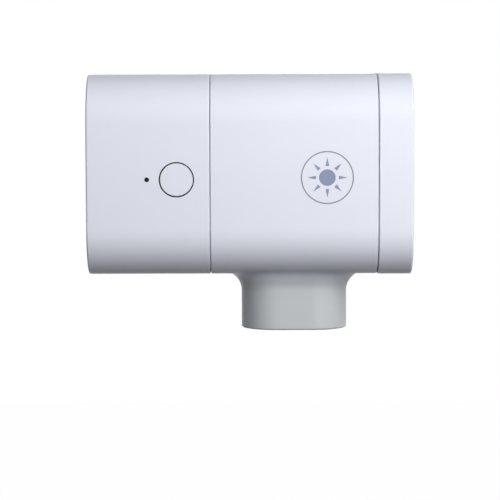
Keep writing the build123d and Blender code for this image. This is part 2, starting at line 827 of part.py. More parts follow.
# Magnets in their rings, each under a thin cap
with BuildPart() as magnets:
    for side in (-1, 1):
        extrude(magnet_discs(side * magnet_x, magnet_seat_y, magnet_diameter), amount=-magnet_thickness)
magnets.part.label = "magnets"
export_step(magnets.part, "parts/magnets.step")

with BuildPart() as magnet_caps:
    for side in (-1, 1):
        extrude(magnet_discs(side * magnet_x, magnet_seat_y, magnet_ring_diameter), amount=magnet_cap_thickness)
magnet_caps.part.label = "magnet_caps"
export_step(magnet_caps.part, "parts/magnet_caps.step")

# Bulkhead with its gasket, held by the long screws through the flange
with BuildPart() as bulkhead:
    extrude(body_section(bulkhead_x, bulkhead_inset), amount=bulkhead_thickness)
    with BuildSketch(x_plane(bulkhead_x)):
        with Locations(*case_screws_at):
            Circle(case_hole_diameter / 2)
        with Locations((body_mid_y, 0)):
            Circle(wire_hole_diameter / 2)
        with Locations(*corner_points(bezel_screw_spread, bezel_screw_rise, body_mid_y)):
            Circle(screw_hole_diameter / 2)
    extrude(amount=bulkhead_thickness, mode=Mode.SUBTRACT)
bulkhead.part.label = "bulkhead"
export_step(bulkhead.part, "parts/bulkhead.step")

with BuildPart() as bulkhead_gasket:
    extrude(body_section(bulkhead_gasket_x, bulkhead_inset), amount=gasket_thickness)
    extrude(bezel_opening(bulkhead_gasket_x), amount=gasket_thickness, mode=Mode.SUBTRACT)
    with BuildSketch(x_plane(bulkhead_gasket_x)):
        with Locations(*case_screws_at):
            Circle(case_hole_diameter / 2)
    extrude(amount=gasket_thickness, mode=Mode.SUBTRACT)
bulkhead_gasket.part.label = "bulkhead_gasket"
export_step(bulkhead_gasket.part, "parts/bulkhead_gasket.step")

with BuildPart() as case_screws:
    add(screw_set(
        x_plane(flange_end_x), case_screws_at,
        case_screw_diameter, case_screw_length, case_screw_head_diameter, case_screw_head_height,
    ))
case_screws.part.label = "case_screws"
export_step(case_screws.part, "parts/case_screws.step")

# Ultraviolet lamp board behind its window
lamp_cavity_depth = board_thickness + diode_height + diode_room
bezel_end_x = bulkhead_gasket_x + lamp_cavity_depth + window_seal_thickness + window_thickness
window_x = bezel_end_x - window_thickness
window_seal_x = window_x - window_seal_thickness
with BuildPart() as lamp_board:
    with BuildSketch(x_plane(bulkhead_gasket_x)):
        with Locations((body_mid_y, 0)):
            Rectangle(lamp_board_depth, lamp_board_height)
    extrude(amount=board_thickness)
lamp_board.part.label = "lamp_board"
export_step(lamp_board.part, "parts/lamp_board.step")

lamp_lead_x = (lamp_socket_at[0] + socket_width / 2 + bulkhead_x) / 2
with BuildPart() as lamp_leads:
    for side in (-1, 1):
        socket_z = lamp_socket_at[1] + side * lead_spread / 2
        hole_z = side * lead_spread / 2
        add(lead([
            (lamp_socket_at[0] + socket_width / 2, socket_mid_y, socket_z),
            (lamp_lead_x, socket_mid_y, socket_z),
            (lamp_lead_x, body_mid_y, hole_z),
            (bulkhead_gasket_x, body_mid_y, hole_z),
        ]))
lamp_leads.part.label = "lamp_leads"
export_step(lamp_leads.part, "parts/lamp_leads.step")

with BuildPart() as lamp_diodes:
    for row in (-1, 0, 1):
        with BuildSketch(x_plane(bulkhead_gasket_x + board_thickness)):
            with Locations((body_mid_y, row * diode_pitch)):
                Rectangle(diode_size, diode_size)
        extrude(amount=diode_height / 2)
        with BuildSketch(x_plane(bulkhead_gasket_x + board_thickness + diode_height / 2)):
            with Locations((body_mid_y, row * diode_pitch)):
                Circle(diode_lens_diameter / 2)
        extrude(amount=diode_height / 2)
lamp_diodes.part.label = "lamp_diodes"
export_step(lamp_diodes.part, "parts/lamp_diodes.step")

with BuildPart() as window_bezel:
    with BuildSketch(x_plane(bulkhead_gasket_x)):
        with Locations((body_mid_y, 0)):
            RectangleRounded(bezel_depth, bezel_height, bezel_corner)
    extrude(amount=bezel_end_x - bulkhead_gasket_x)
    with BuildSketch(x_plane(bulkhead_gasket_x)):
        with Locations((body_mid_y, 0)):
            Rectangle(lamp_board_depth + 2 * slip_fit, lamp_board_height + 2 * slip_fit)
    extrude(amount=lamp_cavity_depth, mode=Mode.SUBTRACT)
    with BuildSketch(x_plane(window_seal_x)):
        with Locations((body_mid_y, 0)):
            RectangleRounded(
                window_depth + 2 * snug_fit, window_height + 2 * snug_fit, window_corner + snug_fit
            )
    extrude(amount=bezel_end_x - window_seal_x, mode=Mode.SUBTRACT)
    with BuildSketch(x_plane(bulkhead_gasket_x)):
        with Locations(*corner_points(bezel_screw_spread, bezel_screw_rise, body_mid_y)):
            Circle(screw_hole_diameter / 2)
    extrude(amount=bezel_end_x - bulkhead_gasket_x, mode=Mode.SUBTRACT)
window_bezel.part.label = "window_bezel"
export_step(window_bezel.part, "parts/window_bezel.step")

with BuildPart() as window_seal:
    with BuildSketch(x_plane(window_seal_x)):
        with Locations((body_mid_y, 0)):
            RectangleRounded(window_depth, window_height, window_corner)
            Rectangle(
                window_depth - 2 * window_seal_width, window_height - 2 * window_seal_width, mode=Mode.SUBTRACT
            )
    extrude(amount=window_seal_thickness)
window_seal.part.label = "window_seal"
export_step(window_seal.part, "parts/window_seal.step")

with BuildPart() as quartz_window:
    with BuildSketch(x_plane(window_x)):
        with Locations((body_mid_y, 0)):
            RectangleRounded(window_depth, window_height, window_corner)
    extrude(amount=window_thickness)
quartz_window.part.label = "quartz_window"
export_step(quartz_window.part, "parts/quartz_window.step")

with BuildPart() as bezel_screws:
    add(screw_set(
        x_plane(bezel_end_x), corner_points(bezel_screw_spread, bezel_screw_rise, body_mid_y),
        screw_diameter, bezel_screw_length, screw_head_diameter, screw_head_height,
    ))
bezel_screws.part.label = "bezel_screws"
export_step(bezel_screws.part, "parts/bezel_screws.step")

# Reflector liner round the chamber, on two open rings
liner_length = liner_end_x - liner_x
with BuildPart() as reflector_liner:
    extrude(body_section(liner_x, liner_inset), amount=liner_length)
    extrude(body_section(liner_x, liner_inset + liner_thickness), amount=liner_length, mode=Mode.SUBTRACT)
    extrude(neck_section(neck_bottom_z, throat_inset), amount=body_height / 2 + neck_length, mode=Mode.SUBTRACT)
reflector_liner.part.label = "reflector_liner"
export_step(reflector_liner.part, "parts/reflector_liner.step")

ring_places = (liner_x + first_ring_setback, liner_end_x - liner_ring_setback - liner_ring_thickness)
back_gap_height = magnet_spread_z + magnet_ring_diameter + 2 * slip_fit
with BuildPart() as liner_rings:
    for ring_x in ring_places:
        extrude(body_section(ring_x, wall + snug_fit), amount=liner_ring_thickness)
    for ring_x in ring_places:
        extrude(body_section(ring_x, liner_inset - snug_fit), amount=liner_ring_thickness, mode=Mode.SUBTRACT)
        with BuildSketch(x_plane(ring_x)):
            with Locations((body_back_y, 0)):
                Rectangle(2 * corner_radius, back_gap_height)
            with Locations((body_mid_y, body_bottom_z)):
                Rectangle(neck_depth + 2 * slip_fit, 2 * corner_radius)
        extrude(amount=liner_ring_thickness, mode=Mode.SUBTRACT)
liner_rings.part.label = "liner_rings"
export_step(liner_rings.part, "parts/liner_rings.step")

# Soft sleeve in the neck, with petals that grip the brush
sleeve_bottom_z = neck_bottom_z + sleeve_recess
petal_z = neck_bottom_z + petal_lift
with BuildPart() as throat_sleeve:
    extrude(neck_section(sleeve_bottom_z, neck_wall + snug_fit), amount=sleeve_height)
    extrude(neck_section(sleeve_bottom_z, throat_inset), amount=sleeve_height, mode=Mode.SUBTRACT)
    extrude(neck_section(petal_z, neck_wall + sleeve_wall / 2), amount=petal_thickness)
    with BuildSketch(z_plane(petal_z)):
        with Locations((neck_x, body_mid_y)):
            for slit in range(petal_count // 2):
                Rectangle(neck_width, petal_slit, rotation=slit * 360 / petal_count)
            SlotOverall(
                neck_width - 2 * throat_inset - 2 * petal_root,
                neck_depth - 2 * throat_inset - 2 * petal_root,
                mode=Mode.INTERSECT,
            )
            SlotOverall(petal_hole_width, petal_hole_depth)
    extrude(amount=petal_thickness, mode=Mode.SUBTRACT)
throat_sleeve.part.label = "throat_sleeve"
export_step(throat_sleeve.part, "parts/throat_sleeve.step")
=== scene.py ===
# Wall-hung brush sterilizer: finishes, pictogram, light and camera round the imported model
from math import cos, pi, radians, sin

import bmesh
import bpy
from mathutils import Matrix, Vector
from mathutils.bvhtree import BVHTree


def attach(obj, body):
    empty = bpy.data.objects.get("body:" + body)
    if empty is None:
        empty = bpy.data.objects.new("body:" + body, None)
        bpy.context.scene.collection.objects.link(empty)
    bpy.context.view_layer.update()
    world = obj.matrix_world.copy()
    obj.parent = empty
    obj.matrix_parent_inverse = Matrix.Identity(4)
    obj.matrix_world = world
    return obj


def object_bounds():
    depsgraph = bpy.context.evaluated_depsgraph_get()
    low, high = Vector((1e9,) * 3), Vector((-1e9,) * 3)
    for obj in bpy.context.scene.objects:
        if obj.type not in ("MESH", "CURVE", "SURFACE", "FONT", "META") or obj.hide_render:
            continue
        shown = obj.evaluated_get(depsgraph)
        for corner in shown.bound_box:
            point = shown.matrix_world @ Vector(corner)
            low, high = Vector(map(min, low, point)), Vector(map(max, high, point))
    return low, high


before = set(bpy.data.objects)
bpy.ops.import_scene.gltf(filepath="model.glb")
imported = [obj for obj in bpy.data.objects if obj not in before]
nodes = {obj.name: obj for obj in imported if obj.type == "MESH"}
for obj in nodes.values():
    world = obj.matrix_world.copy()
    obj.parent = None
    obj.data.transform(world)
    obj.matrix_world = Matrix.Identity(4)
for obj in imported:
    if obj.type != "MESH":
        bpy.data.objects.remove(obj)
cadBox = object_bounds()
print("frame loaded:", len(nodes), "pieces")


# Materials

def startMaterial(name):
    material = bpy.data.materials.new(name)
    material.use_nodes = True
    tree = material.node_tree
    return material, tree, tree.nodes["Principled BSDF"]


def addNode(tree, kind, **values):
    node = tree.nodes.new(kind)
    for name, value in values.items():
        if hasattr(node, name):
            setattr(node, name, value)
        else:
            node.inputs[name].default_value = value
    return node


def objectCoords(tree, stretch=(1, 1, 1)):
    coords = addNode(tree, "ShaderNodeTexCoord")
    mapping = addNode(tree, "ShaderNodeMapping", Scale=stretch)
    tree.links.new(coords.outputs["Object"], mapping.inputs["Vector"])
    return mapping.outputs["Vector"]


def worked(tree, operation, first, second):
    # a Math node on two sockets or numbers
    math = addNode(tree, "ShaderNodeMath", operation=operation)
    for socket, value in zip(math.inputs, (first, second)):
        if isinstance(value, (int, float)):
            socket.default_value = value
        else:
            tree.links.new(value, socket)
    return math.outputs[0]


def noiseAt(tree, vector, size, detail=3.0):
    # size is the width of one grain, in metres
    noise = addNode(tree, "ShaderNodeTexNoise", Scale=1 / size, Detail=detail)
    tree.links.new(vector, noise.inputs["Vector"])
    return noise.outputs["Fac"]


def rampColours(tree, factor, low, high, lowAt=0.3, highAt=0.7):
    ramp = addNode(tree, "ShaderNodeValToRGB")
    ramp.color_ramp.elements[0].position = lowAt
    ramp.color_ramp.elements[1].position = highAt
    ramp.color_ramp.elements[0].color = (*low, 1)
    ramp.color_ramp.elements[1].color = (*high, 1)
    tree.links.new(factor, ramp.inputs["Fac"])
    return ramp.outputs["Color"]


def mapRange(tree, factor, low, high):
    node = addNode(tree, "ShaderNodeMapRange")
    node.inputs["To Min"].default_value = low
    node.inputs["To Max"].default_value = high
    tree.links.new(factor, node.inputs["Value"])
    return node.outputs["Result"]


def bumpFrom(tree, shader, height, depth):
    # depth is the height of the relief, in metres
    bump = addNode(tree, "ShaderNodeBump", Strength=1.0, Distance=depth)
    tree.links.new(height, bump.inputs["Height"])
    tree.links.new(bump.outputs["Normal"], shader.inputs["Normal"])


def tintPaint(tree, shader, factor, colour):
    # goes from the paint's own colour to the given one as factor rises from 0 to 1
    mix = addNode(tree, "ShaderNodeMix", data_type="RGBA")
    ownColour, tintColour, mixedColour = mix.inputs[6], mix.inputs[7], mix.outputs[2]
    tree.links.new(factor, mix.inputs["Factor"])
    tree.links.new(shader.inputs["Base Color"].links[0].from_socket, ownColour)
    tintColour.default_value = (*colour, 1)
    tree.links.new(mixedColour, shader.inputs["Base Color"])


def grainyMaterial(name, look):
    material, tree, shader = startMaterial(name)
    vector = objectCoords(tree, look.get("stretch", (1, 1, 1)))
    grain = noiseAt(tree, vector, look["grainSize"])
    patches = noiseAt(tree, objectCoords(tree), look["patchSize"], detail=2.0)
    low = [channel * (1 - look["colourDrift"]) for channel in look["colour"]]
    high = [min(1, channel * (1 + look["colourDrift"])) for channel in look["colour"]]
    tree.links.new(rampColours(tree, patches, low, high), shader.inputs["Base Color"])
    smoothest = look["roughness"] - look["roughDrift"]
    roughest = look["roughness"] + look["roughDrift"]
    tree.links.new(mapRange(tree, grain, smoothest, roughest), shader.inputs["Roughness"])
    bumpFrom(tree, shader, grain, look["grainDepth"])
    for socket, value in look.get("sockets", {}).items():
        shader.inputs[socket].default_value = value
    return material


def dress(material, *names):
    for name in names:
        mesh = nodes[name].data
        mesh.materials.clear()
        mesh.materials.append(material)


shellLook = {
    "colour": (0.76, 0.78, 0.90), "colourDrift": 0.006, "patchSize": 0.03,
    "grainSize": 0.00028, "grainDepth": 0.0000035, "roughness": 0.50, "roughDrift": 0.03,
    "sockets": {"Specular IOR Level": 0.30},
}
dress(grainyMaterial("satinShellPaint", shellLook), "end_cap")

# painted shade on the neck, where the body above shades it
neckShadeLook = {"paintedShadeTint": (0.51, 0.535, 0.565), "startDepth": 0.0256, "fullDepth": 0.0285}


def neckShadePaint(name, look):
    # shell paint with painted shade under the body: it turns a darker grey between two depths below the
    # body's middle
    material = grainyMaterial(name, shellLook)
    tree, shader = material.node_tree, material.node_tree.nodes["Principled BSDF"]
    place = addNode(tree, "ShaderNodeSeparateXYZ")
    tree.links.new(objectCoords(tree), place.inputs[0])
    neckShadeFade = addNode(tree, "ShaderNodeMapRange", interpolation_type="SMOOTHSTEP")
    neckShadeFade.inputs["From Min"].default_value = -look["startDepth"]
    neckShadeFade.inputs["From Max"].default_value = -look["fullDepth"]
    tree.links.new(place.outputs["Z"], neckShadeFade.inputs["Value"])
    # mixes the painted shade into the paint below the body
    tintPaint(tree, shader, neckShadeFade.outputs["Result"], look["paintedShadeTint"])
    return material


dress(neckShadePaint("neckPaintedShade", neckShadeLook), "chamber_housing")

# painted shade in the narrow groove round the button, where little light reaches
grooveShadeLook = {
    "buttonX": -0.018575, "buttonDrop": 0.00085, "innerRadius": 0.0030, "outerRadius": 0.0052,
    "frontY": -0.0442, "lip": 0.00014, "depth": 0.005, "paintedShade": (0.004, 0.004, 0.006),
}


def grooveShadePaint(name, look):
    # shell paint with painted shade in the narrow groove round the button, darkened only near the front
    material = grainyMaterial(name, shellLook)
    tree, shader = material.node_tree, material.node_tree.nodes["Principled BSDF"]
    place = addNode(tree, "ShaderNodeSeparateXYZ")
    tree.links.new(objectCoords(tree), place.inputs[0])
    flat = addNode(tree, "ShaderNodeCombineXYZ")
    tree.links.new(place.outputs["X"], flat.inputs["X"])
    tree.links.new(place.outputs["Z"], flat.inputs["Z"])
    reach = addNode(tree, "ShaderNodeVectorMath", operation="DISTANCE")
    reach.inputs[1].default_value = (look["buttonX"], 0, -look["buttonDrop"])
    tree.links.new(flat.outputs[0], reach.inputs[0])
    fromAxis, depth = reach.outputs["Value"], place.outputs["Y"]
    outsideButton = worked(tree, "GREATER_THAN", fromAxis, look["innerRadius"])
    insideHole = worked(tree, "LESS_THAN", fromAxis, look["outerRadius"])
    underFace = worked(tree, "GREATER_THAN", depth, look["frontY"] + look["lip"])
    nearFace = worked(tree, "LESS_THAN", depth, look["frontY"] + look["depth"])
    ring = worked(tree, "MULTIPLY", outsideButton, insideHole)
    grooveShadeMask = worked(tree, "MULTIPLY", ring, worked(tree, "MULTIPLY", underFace, nearFace))
    # paints the groove's shade into the paint's colour
    tintPaint(tree, shader, grooveShadeMask, look["paintedShade"])
    return material


dress(grooveShadePaint("shellPaintGrooveShade", grooveShadeLook), "control_housing", "power_button")

lensLook = {
    "colour": (0.006, 0.006, 0.008), "colourDrift": 0.2, "patchSize": 0.001,
    "grainSize": 0.0002, "grainDepth": 0.000001, "roughness": 0.42, "roughDrift": 0.05,
    "sockets": {"Specular IOR Level": 0.15},
}
dress(grainyMaterial("darkLampLens", lensLook), "light_pipe")

siliconeLook = {
    "colour": (0.42, 0.43, 0.45), "colourDrift": 0.03, "patchSize": 0.006,
    "grainSize": 0.00025, "grainDepth": 0.000006, "roughness": 0.62, "roughDrift": 0.05,
}
dress(grainyMaterial("greySilicone", siliconeLook), "throat_sleeve", "port_cover", "cover_tab",
      "cap_seal", "bulkhead_gasket", "window_seal")

innerLook = {
    "colour": (0.70, 0.71, 0.73), "colourDrift": 0.012, "patchSize": 0.01,
    "grainSize": 0.0003, "grainDepth": 0.000008, "roughness": 0.5, "roughDrift": 0.04,
}
dress(grainyMaterial("paleMouldedPlastic", innerLook), "bulkhead", "window_bezel", "battery_tray",
      "button_guide", "magnet_caps")

steelLook = {
    "colour": (0.56, 0.57, 0.59), "colourDrift": 0.03, "patchSize": 0.004, "stretch": (0.02, 1, 1),
    "grainSize": 0.00018, "grainDepth": 0.000004, "roughness": 0.34, "roughDrift": 0.09,
    "sockets": {"Metallic": 1.0},
}
dress(grainyMaterial("brushedSteel", steelLook), "wall_plate", "charging_port", "tactile_switch")

screwLook = {
    "colour": (0.60, 0.60, 0.61), "colourDrift": 0.04, "patchSize": 0.001,
    "grainSize": 0.0001, "grainDepth": 0.000003, "roughness": 0.3, "roughDrift": 0.08,
    "sockets": {"Metallic": 1.0},
}
dress(grainyMaterial("zincScrews", screwLook), "board_screws", "tray_screws", "charge_board_screws",
      "case_screws", "bezel_screws", "magnets")

linerLook = {
    "colour": (0.80, 0.81, 0.83), "colourDrift": 0.02, "patchSize": 0.006, "stretch": (0.03, 1, 1),
    "grainSize": 0.0003, "grainDepth": 0.000003, "roughness": 0.24, "roughDrift": 0.06,
    "sockets": {"Metallic": 1.0},
}
dress(grainyMaterial("brightReflector", linerLook), "reflector_liner")

foamLook = {
    "colour": (0.55, 0.56, 0.57), "colourDrift": 0.08, "patchSize": 0.0015,
    "grainSize": 0.0005, "grainDepth": 0.00005, "roughness": 0.85, "roughDrift": 0.05,
}
dress(grainyMaterial("closedCellFoam", foamLook), "adhesive_pad", "battery_foam", "liner_rings")

foilLook = {
    "colour": (0.66, 0.67, 0.69), "colourDrift": 0.04, "patchSize": 0.004,
    "grainSize": 0.0012, "grainDepth": 0.00003, "roughness": 0.35, "roughDrift": 0.08,
    "sockets": {"Metallic": 0.8},
}
dress(grainyMaterial("batteryFoil", foilLook), "battery_cell")

chipLook = {
    "colour": (0.025, 0.025, 0.028), "colourDrift": 0.15, "patchSize": 0.001,
    "grainSize": 0.0001, "grainDepth": 0.000006, "roughness": 0.55, "roughDrift": 0.06,
}
dress(grainyMaterial("mouldedChips", chipLook), "board_chips", "switch_plunger")

diodeLook = {
    "colour": (0.78, 0.74, 0.55), "colourDrift": 0.05, "patchSize": 0.001,
    "grainSize": 0.00015, "grainDepth": 0.000003, "roughness": 0.3, "roughDrift": 0.05,
}
dress(grainyMaterial("diodeCeramic", diodeLook), "lamp_diodes", "status_lamp")

leadLooks = {
    "battery_leads": (0.45, 0.02, 0.02),
    "charge_leads": (0.05, 0.05, 0.055),
    "lamp_leads": (0.72, 0.72, 0.70),
}
for leadName, leadColour in leadLooks.items():
    leadLook = {
        "colour": leadColour, "colourDrift": 0.05, "patchSize": 0.002,
        "grainSize": 0.0002, "grainDepth": 0.000004, "roughness": 0.45, "roughDrift": 0.05,
    }
    dress(grainyMaterial(leadName + "Sleeve", leadLook), leadName)

boardLook = {
    "mask": (0.012, 0.10, 0.045), "copper": (0.03, 0.17, 0.08), "trackPitch": 0.0011, "roughness": 0.35,
}
whiteBoardLook = {
    "mask": (0.78, 0.79, 0.80), "copper": (0.66, 0.67, 0.68), "trackPitch": 0.0016, "roughness": 0.3,
}
trackLook = {
    "trackShare": 0.08, "otherMask": 0.8, "relief": 0.00002, "grainSize": 0.0004, "roughDrift": 0.05,
}


def boardMaterial(name, look):
    # a brick pattern drawn in X and Z, with its mortar as the copper tracks
    material, tree, shader = startMaterial(name)
    brick = addNode(tree, "ShaderNodeTexBrick", Scale=1 / look["trackPitch"])
    brick.inputs["Mortar Size"].default_value = trackLook["trackShare"]
    otherMask = [channel * trackLook["otherMask"] for channel in look["mask"]]
    brick.inputs["Color1"].default_value = (*look["mask"], 1)
    brick.inputs["Color2"].default_value = (*otherMask, 1)
    brick.inputs["Mortar"].default_value = (*look["copper"], 1)
    coords = addNode(tree, "ShaderNodeTexCoord")
    upright = addNode(tree, "ShaderNodeMapping")
    upright.inputs["Rotation"].default_value = (radians(90), 0, 0)
    tree.links.new(coords.outputs["Object"], upright.inputs["Vector"])
    tree.links.new(upright.outputs["Vector"], brick.inputs["Vector"])
    tree.links.new(brick.outputs["Color"], shader.inputs["Base Color"])
    grain = noiseAt(tree, objectCoords(tree), trackLook["grainSize"])
    smoothest = look["roughness"] - trackLook["roughDrift"]
    roughest = look["roughness"] + trackLook["roughDrift"]
    tree.links.new(mapRange(tree, grain, smoothest, roughest), shader.inputs["Roughness"])
    bumpFrom(tree, shader, brick.outputs["Fac"], trackLook["relief"])
    return material


dress(boardMaterial("greenBoard", boardLook), "main_board", "charge_board")
dress(boardMaterial("whiteLampBoard", whiteBoardLook), "lamp_board")

windowLook = {
    "colour": (0.93, 0.96, 0.98), "indexOfQuartz": 1.46, "smearSize": 0.004, "smearDepth": 0.000002,
    "clearRoughness": 0.01, "smearedRoughness": 0.06,
}


def windowMaterial(name, look):
    material, tree, shader = startMaterial(name)
    shader.inputs["Base Color"].default_value = (*look["colour"], 1)
    shader.inputs["Transmission Weight"].default_value = 1.0
    shader.inputs["IOR"].default_value = look["indexOfQuartz"]
    smear = noiseAt(tree, objectCoords(tree), look["smearSize"])
    rough = mapRange(tree, smear, look["clearRoughness"], look["smearedRoughness"])
    tree.links.new(rough, shader.inputs["Roughness"])
    bumpFrom(tree, shader, smear, look["smearDepth"])
    return material


dress(windowMaterial("quartzGlass", windowLook), "quartz_window")
print("finishes on all the pieces of the frame")


# Pictogram on the front: a thin ring round a sun, as thick as ink
badge = {
    "centreX": 0.01955, "drop": 0.0004, "ringRadius": 0.0067, "line": 0.00030, "thickness": 0.00002,
    "lineColour": (0.20, 0.20, 0.25), "fillColour": (0.21, 0.255, 0.39),
    "sunRadius": 0.0021, "rayStart": 0.0029, "rayLength": 0.0022, "rayWidth": 0.00095, "rays": 8,
    "ringSteps": 96, "sunSteps": 40, "castFromY": -0.2,
}


def frontOf(name):
    # gives the Y of a housing's front at any X and Z
    mesh = nodes[name].data
    corners = [vertex.co.copy() for vertex in mesh.vertices]
    triangles = [polygon.vertices[:] for polygon in mesh.polygons]
    surface = BVHTree.FromPolygons(corners, triangles)

    def depthAt(x, z):
        hit = surface.ray_cast(Vector((x, badge["castFromY"], z)), Vector((0, 1, 0)))[0]
        return hit.y
    return depthAt


def inkPiece(name, flatMesh, depthAt, thickness, material):
    # lays a flat mesh drawn in X and Z on the housing's front and gives it the thickness of ink
    for vertex in flatMesh.verts:
        vertex.co.y = depthAt(vertex.co.x, vertex.co.z)
    bmesh.ops.recalc_face_normals(flatMesh, faces=flatMesh.faces)
    if sum(face.normal.y for face in flatMesh.faces) > 0:
        bmesh.ops.reverse_faces(flatMesh, faces=flatMesh.faces)
    top = bmesh.ops.extrude_face_region(flatMesh, geom=list(flatMesh.faces))
    raised = [item for item in top["geom"] if isinstance(item, bmesh.types.BMVert)]
    bmesh.ops.translate(flatMesh, vec=(0, -thickness, 0), verts=raised)
    bmesh.ops.recalc_face_normals(flatMesh, faces=flatMesh.faces)
    mesh = bpy.data.meshes.new(name)
    flatMesh.to_mesh(mesh)
    flatMesh.free()
    mesh.materials.append(material)
    piece = bpy.data.objects.new(name, mesh)
    bpy.context.scene.collection.objects.link(piece)
    return piece


def inkMaterial(name, colour):
    return grainyMaterial(name, {
        "colour": colour, "colourDrift": 0.03, "patchSize": 0.002,
        "grainSize": 0.00012, "grainDepth": 0.000002, "roughness": 0.5, "roughDrift": 0.05,
    })


def standOnBadge(flatMesh):
    # turns a mesh drawn in X and Y upright and moves it to the badge's middle
    upright = Matrix.Rotation(radians(90), 3, "X")
    bmesh.ops.rotate(flatMesh, verts=flatMesh.verts, cent=(0, 0, 0), matrix=upright)
    bmesh.ops.translate(flatMesh, verts=flatMesh.verts, vec=(badge["centreX"], 0, -badge["drop"]))


frontDepth = frontOf("chamber_housing")
fillInk = inkMaterial("sunInk", badge["fillColour"])
lineInk = inkMaterial("ringInk", badge["lineColour"])

ring = bmesh.new()
steps = badge["ringSteps"]
circles = []
for radius in (badge["ringRadius"], badge["ringRadius"] - badge["line"]):
    circle = []
    for step in range(steps):
        angle = 2 * pi * step / steps
        circle.append(ring.verts.new((badge["centreX"] + radius * cos(angle), 0,
                                      radius * sin(angle) - badge["drop"])))
    circles.append(circle)
outer, inner = circles
for step in range(steps):
    following = (step + 1) % steps
    ring.faces.new((outer[step], outer[following], inner[following], inner[step]))
badgeRing = inkPiece("pictogram_ring", ring, frontDepth, badge["thickness"], lineInk)
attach(badgeRing, "unit")

sun = bmesh.new()
bmesh.ops.create_circle(sun, cap_ends=True, radius=badge["sunRadius"], segments=badge["sunSteps"])
standOnBadge(sun)
sunDisc = inkPiece("pictogram_sun", sun, frontDepth, badge["thickness"], fillInk)
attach(sunDisc, "unit")


def rayTree(material):
    # flat rays round a circle, drawn in X and Y with their tips outwards
    tree = bpy.data.node_groups.new("sunRays", "GeometryNodeTree")
    tree.interface.new_socket("Geometry", in_out="INPUT", socket_type="NodeSocketGeometry")
    tree.interface.new_socket("Rays", in_out="INPUT", socket_type="NodeSocketInt")
    for inputName in ("Ray Start", "Ray Length", "Ray Width"):
        tree.interface.new_socket(inputName, in_out="INPUT", socket_type="NodeSocketFloat")
    tree.interface.new_socket("Geometry", in_out="OUTPUT", socket_type="NodeSocketGeometry")
    sizes = tree.nodes.new("NodeGroupInput").outputs

    # a triangle of radius 1 with its tip on X is 1.5 long and the root of 3 wide
    ray = addNode(tree, "GeometryNodeMeshCircle", fill_type="NGON", Vertices=3, Radius=1.0)
    tipLength, baseWidth = 1.5, 3 ** 0.5
    raySize = addNode(tree, "ShaderNodeCombineXYZ", Z=1.0)
    tree.links.new(worked(tree, "DIVIDE", sizes["Ray Length"], tipLength), raySize.inputs["X"])
    tree.links.new(worked(tree, "DIVIDE", sizes["Ray Width"], baseWidth), raySize.inputs["Y"])

    # its middle lies a third of its length past its base
    toMiddle = worked(tree, "DIVIDE", sizes["Ray Length"], 3.0)
    spots = tree.nodes.new("GeometryNodeMeshCircle")
    tree.links.new(sizes["Rays"], spots.inputs["Vertices"])
    tree.links.new(worked(tree, "ADD", sizes["Ray Start"], toMiddle), spots.inputs["Radius"])
    index = tree.nodes.new("GeometryNodeInputIndex")
    turn = tree.nodes.new("ShaderNodeCombineXYZ")
    share = worked(tree, "DIVIDE", index.outputs[0], sizes["Rays"])
    tree.links.new(worked(tree, "MULTIPLY", share, 2 * pi), turn.inputs["Z"])
    place = tree.nodes.new("GeometryNodeInstanceOnPoints")
    tree.links.new(spots.outputs["Mesh"], place.inputs["Points"])
    tree.links.new(ray.outputs["Mesh"], place.inputs["Instance"])
    tree.links.new(turn.outputs[0], place.inputs["Rotation"])
    tree.links.new(raySize.outputs[0], place.inputs["Scale"])
    realize = tree.nodes.new("GeometryNodeRealizeInstances")
    tree.links.new(place.outputs["Instances"], realize.inputs["Geometry"])
    finish = tree.nodes.new("GeometryNodeSetMaterial")
    finish.inputs["Material"].default_value = material
    tree.links.new(realize.outputs["Geometry"], finish.inputs["Geometry"])
    output = tree.nodes.new("NodeGroupOutput")
    tree.links.new(finish.outputs["Geometry"], output.inputs["Geometry"])
    return tree


rayHolder = bpy.data.objects.new("rayHolder", bpy.data.meshes.new("rayHolder"))
bpy.context.scene.collection.objects.link(rayHolder)
rayModifier = rayHolder.modifiers.new("sunRays", "NODES")
rayModifier.node_group = rayTree(fillInk)
raySizes = {"Rays": badge["rays"], "Ray Start": badge["rayStart"],
            "Ray Length": badge["rayLength"], "Ray Width": badge["rayWidth"]}
for item in rayModifier.node_group.interface.items_tree:
    if item.in_out == "INPUT" and item.name in raySizes:
        rayModifier[item.identifier] = raySizes[item.name]
evaluatedRays = rayHolder.evaluated_get(bpy.context.evaluated_depsgraph_get())
flatRays = bpy.data.meshes.new_from_object(evaluatedRays)
bpy.data.objects.remove(rayHolder)
rays = bmesh.new()
rays.from_mesh(flatRays)
standOnBadge(rays)
sunRays = inkPiece("pictogram_rays", rays, frontDepth, badge["thickness"], fillInk)
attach(sunRays, "unit")
print("pictogram on the chamber's front")


# Floor, light and camera

studio = {
    "floorDrop": 0.60, "floorSize": 8.0, "floorColour": (0.06, 0.06, 0.065), "floorRoughness": 0.9,
    "floorGlow": 0.985, "floorShade": (0.2, 0.2, 0.2),
    "fillColour": (0.90, 0.94, 1.0), "fillStrength": 0.03, "backgroundWhite": 1.0,
    "lampTarget": (0.0, -0.0232, 0.0),
}


def seenBackground(tree):
    # 1 for rays from the camera, reflections and refractions, 0 for light that falls on the object
    path = addNode(tree, "ShaderNodeLightPath")
    seen = worked(tree, "MAXIMUM", path.outputs["Is Camera Ray"], path.outputs["Is Glossy Ray"])
    return worked(tree, "MAXIMUM", seen, path.outputs["Is Transmission Ray"])


